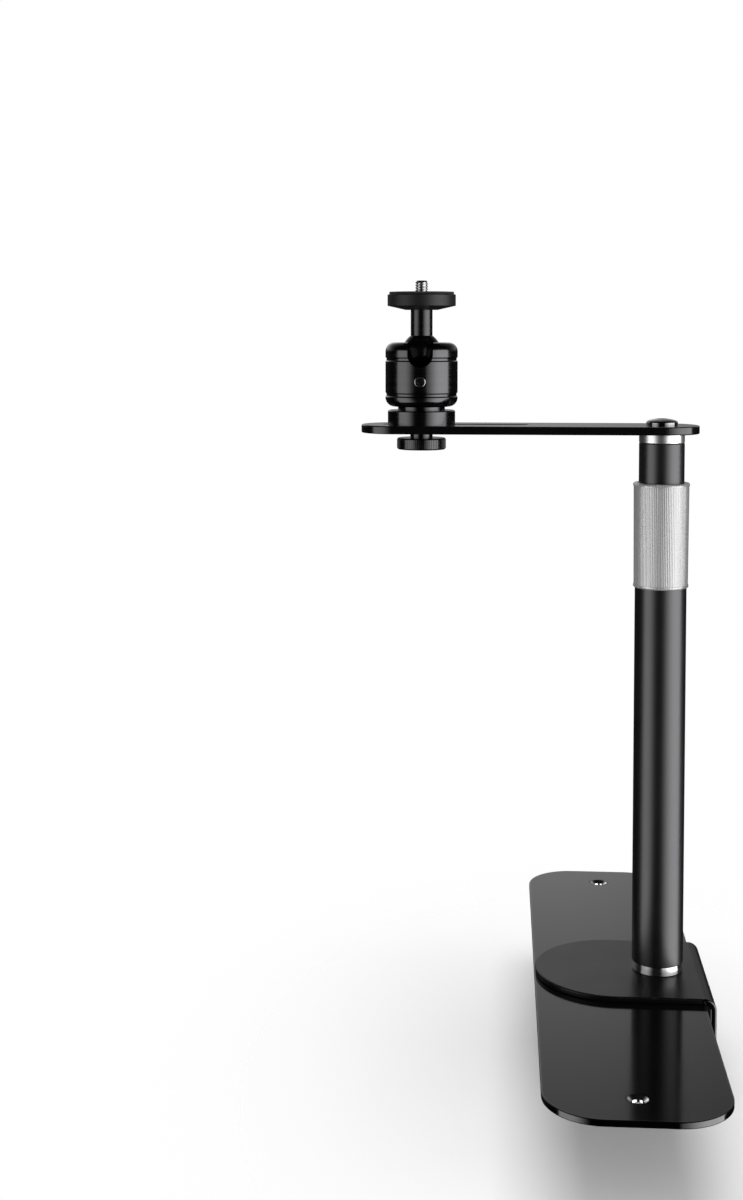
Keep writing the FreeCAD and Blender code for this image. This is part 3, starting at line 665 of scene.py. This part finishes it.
# %% One rib, repeated
RIBS = 96
RIB_DEEP = 0.08 * MM
RIB_PLAN = ((0.0, 1.0), (0.16, 1.0), (0.38, 0.2), (0.58, 0.0), (0.78, 0.2), (1.0, 1.0))
SLEEVE_LOW = 1.4 * MM
SLEEVE_HIGH = 49.6 * MM
CREST_LOW = 13.1 * MM
CREST_HIGH = 13.4 * MM
MERGE = 1e-6

sleeve = bmesh.new()
row = []
for share, sunk in RIB_PLAN:
    turn = share * 2 * math.pi / RIBS
    reach = CREST_LOW - sunk * RIB_DEEP
    row.append(sleeve.verts.new((reach * math.cos(turn), reach * math.sin(turn), SLEEVE_LOW)))
plan = [sleeve.edges.new(pair) for pair in zip(row, row[1:])]
pulled = bmesh.ops.extrude_edge_only(sleeve, edges=plan)["geom"]
raised = [item for item in pulled if isinstance(item, bmesh.types.BMVert)]
swell = CREST_HIGH / CREST_LOW
bmesh.ops.scale(sleeve, vec=(swell, swell, 1), verts=raised)
bmesh.ops.translate(sleeve, vec=(0, 0, SLEEVE_HIGH - SLEEVE_LOW), verts=raised)
bmesh.ops.spin(
    sleeve,
    geom=sleeve.verts[:] + sleeve.edges[:] + sleeve.faces[:],
    cent=(0, 0, 0),
    axis=(0, 0, 1),
    angle=2 * math.pi * (RIBS - 1) / RIBS,
    steps=RIBS - 1,
    use_duplicate=True,
)
bmesh.ops.remove_doubles(sleeve, verts=sleeve.verts[:], dist=MERGE)
print("knurled wall:", len(sleeve.faces), "faces")

# %% [markdown]
# The lips and the bore could be separate rings, but then the sleeve would not be one closed
# wall. So they grow from the wall's open upper end, ring by ring, over the lip, down the bore
# and round the lower lip, until the last ring is bridged to the wall's lower end.

# %% Lips and bore
LEVEL = 1e-7
SLEEVE_RINGS_MM = (
    (13.65, 49.6), (13.65, 50.6), (13.25, 51.0), (11.3, 51.0), (11.3, 35.3),
    (12.55, 35.3), (12.55, 0.0), (12.95, 0.0), (13.35, 0.4), (13.35, 1.4),
)


def open_ring(work, height):
    """The open edges of a wall at one height."""
    rim = [edge for edge in work.edges if edge.is_boundary]
    return [edge for edge in rim if all(abs(v.co.z - height) < LEVEL for v in edge.verts)]


def grow_ring(work, edges, radius, height):
    """Extrudes an open ring of edges to a circle of a given radius and height."""
    grown = bmesh.ops.extrude_edge_only(work, edges=edges)["geom"]
    corners = {item for item in grown if isinstance(item, bmesh.types.BMVert)}
    for corner in corners:
        flat = corner.co.xy.normalized() * radius
        corner.co = (flat.x, flat.y, height)
    edges = [item for item in grown if isinstance(item, bmesh.types.BMEdge)]
    return [edge for edge in edges if set(edge.verts) <= corners]


lower_end = open_ring(sleeve, SLEEVE_LOW)
ring = open_ring(sleeve, SLEEVE_HIGH)
for radius_mm, height_mm in SLEEVE_RINGS_MM:
    ring = grow_ring(sleeve, ring, radius_mm * MM, height_mm * MM)
bmesh.ops.bridge_loops(sleeve, edges=ring + lower_end)
bmesh.ops.translate(sleeve, vec=(POLE_X, 0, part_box("lock_sleeve")[0].z), verts=sleeve.verts[:])
print("sleeve:", len(sleeve.faces), "faces, open edges:", sum(e.is_boundary for e in sleeve.edges))

# %% [markdown]
# The sleeve's silver is half metal, half matt oxide, drawn with fine upright lines. Its left side is
# painted paler, as painted light, and the opposite side darker, as painted shade, to even out the two
# lamps. That side could be painted on the mesh, but the cosine of the angle round the axis already gives
# it, and scales the colour of the lines.

# %% Sleeve silver
SILVER = (0.36, 0.36, 0.36)
LINE_DARK = (0.2, 0.2, 0.2)
LINE_PALE = (0.52, 0.52, 0.52)
# The side that is painted paler, as painted light; the opposite side is painted darker, as painted
# shade.
PAINTED_LIGHT_SIDE_DEG = -160

sleeve_silver, tree, shader = new_finish("sleeve_silver", SILVER, metallic=0.5, roughness=0.26)
axis = position(tree, x=POLE_X)
drawn = use_group(tree, drawn_tree, {"Vector": axis, "Lines": 26.0})
lined = tint(tree, drawn["Height"], LINE_DARK, LINE_PALE)
parts = place(tree, "SeparateXYZ", feeds={0: axis})
facing = math_node(tree, "ARCTAN2", parts.outputs["Y"], parts.outputs["X"])
lean = math_node(tree, "COSINE", math_node(tree, "SUBTRACT", facing, math.radians(PAINTED_LIGHT_SIDE_DEG)))
# Painted light and shade: the colour of the lines is scaled up towards one side and down towards the
# other.
painted_light_scale = remap(tree, lean, start=-1.0, low=0.68, high=1.32)
lines_with_painted_light = place(tree, "VectorMath", {"operation": "SCALE"}, {0: lined, "Scale": painted_light_scale})
tree.links.new(lines_with_painted_light.outputs[0], shader.inputs["Base Color"])
tree.links.new(remap(tree, drawn["Height"], low=0.2, high=0.32), shader.inputs["Roughness"])
bump(tree, shader, drawn["Height"], 0.02 * MM)
print("sleeve finish:", sleeve_silver.name)

# %% [markdown]
# A finished mesh becomes an object that sits at the origin, rides on its CAD body and stands
# for its CAD node. Normals are recalculated first, because spin and extrude can leave some
# faces pointing inwards. Smooth shading is split where faces meet at a clear angle.

# %% Make it a piece
def make_piece(name, work, finish, body, node, sharp_deg):
    """Turns a bmesh into a smooth-shaded piece of the object."""
    bmesh.ops.recalc_face_normals(work, faces=work.faces[:])
    mesh = bpy.data.meshes.new(name)
    work.to_mesh(mesh)
    work.free()
    mesh.shade_smooth()
    mesh.set_sharp_from_angle(angle=math.radians(sharp_deg))
    mesh.materials.append(finish)
    piece = bpy.data.objects.new(name, mesh)
    bpy.context.scene.collection.objects.link(piece)
    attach(piece, body)
    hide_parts(node)
    print(name, "rides on", body, "with", len(mesh.polygons), "faces")


make_piece(
    "knurled_sleeve", sleeve, sleeve_silver,
    body="sleeve", node="lock_sleeve", sharp_deg=50,
)

# %% [markdown]
# ## The threaded stud
# The stud on top of the disc screws into what the bracket carries. A thread could be drawn as
# stacked rings, but a real one is one profile turned round an axis while it climbs, which is
# what spin does when it is given a step of travel. Each turn lands on the end of the turn
# below, so merging doubles closes it into one wall. The tip is then tapered, and both ends are
# cut flat and capped.

# %% Thread
PITCH = 1.27 * MM
TURNS = 6
ROUND = 48
CROWN = 3.15 * MM
TIP_TAPER = 0.8 * MM
STUD_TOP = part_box("projector_stud")[1].z
STUD_FOOT = STUD_TOP - 6.1 * MM
THREAD_PLAN_MM = ((2.62, 0.0), (2.62, 0.16), (3.15, 0.52), (3.15, 0.75), (2.62, 1.11), (2.62, 1.27))

stud = bmesh.new()
low = STUD_FOOT - PITCH
row = [stud.verts.new((r * MM, 0, low + z * MM)) for r, z in THREAD_PLAN_MM]
edges = [stud.edges.new(pair) for pair in zip(row, row[1:])]
bmesh.ops.spin(
    stud,
    geom=row + edges,
    cent=(0, 0, 0),
    axis=(0, 0, 1),
    dvec=(0, 0, PITCH / ROUND),
    angle=2 * math.pi * TURNS,
    steps=ROUND * TURNS,
)
bmesh.ops.remove_doubles(stud, verts=stud.verts[:], dist=MERGE)
for corner in stud.verts:
    limit = CROWN - max(0.0, corner.co.z - (STUD_TOP - TIP_TAPER))
    if corner.co.xy.length > limit:
        corner.co.x, corner.co.y = corner.co.xy.normalized() * limit
for height, side in ((STUD_TOP, 1), (STUD_FOOT, -1)):
    bmesh.ops.bisect_plane(
        stud,
        geom=stud.verts[:] + stud.edges[:] + stud.faces[:],
        plane_co=(0, 0, height),
        plane_no=(0, 0, side),
        clear_outer=True,
    )
    bmesh.ops.contextual_create(stud, geom=open_ring(stud, height))
print("thread:", len(stud.faces), "faces, open edges:", sum(e.is_boundary for e in stud.edges))

# %% [markdown]
# Below the thread the stud has a plain root that is pressed into the disc. It hardly shows, so
# a short cylinder is enough, added to the same mesh.

# %% Stud root
ROOT_R = 4 * MM
ROOT_LONG = 6.2 * MM
ROOT_SUNK = 5.5 * MM

root_middle = STUD_TOP - ROOT_SUNK - ROOT_LONG / 2
bmesh.ops.create_cone(
    stud,
    cap_ends=True,
    segments=ROUND,
    radius1=ROOT_R,
    radius2=ROOT_R,
    depth=ROOT_LONG,
    matrix=Matrix.Translation((0, 0, root_middle)),
)
bmesh.ops.translate(stud, vec=(HEAD_X, 0, 0), verts=stud.verts[:])
stud_steel = turned_metal("stud_steel", (0.5, 0.5, 0.49), roughness=0.25, depth=0.001 * MM, lines=6000.0)
make_piece(
    "threaded_stud", stud, stud_steel,
    body="ball", node="projector_stud", sharp_deg=40,
)

# %% Finish
bpy.context.scene.view_settings.view_transform = "Standard"
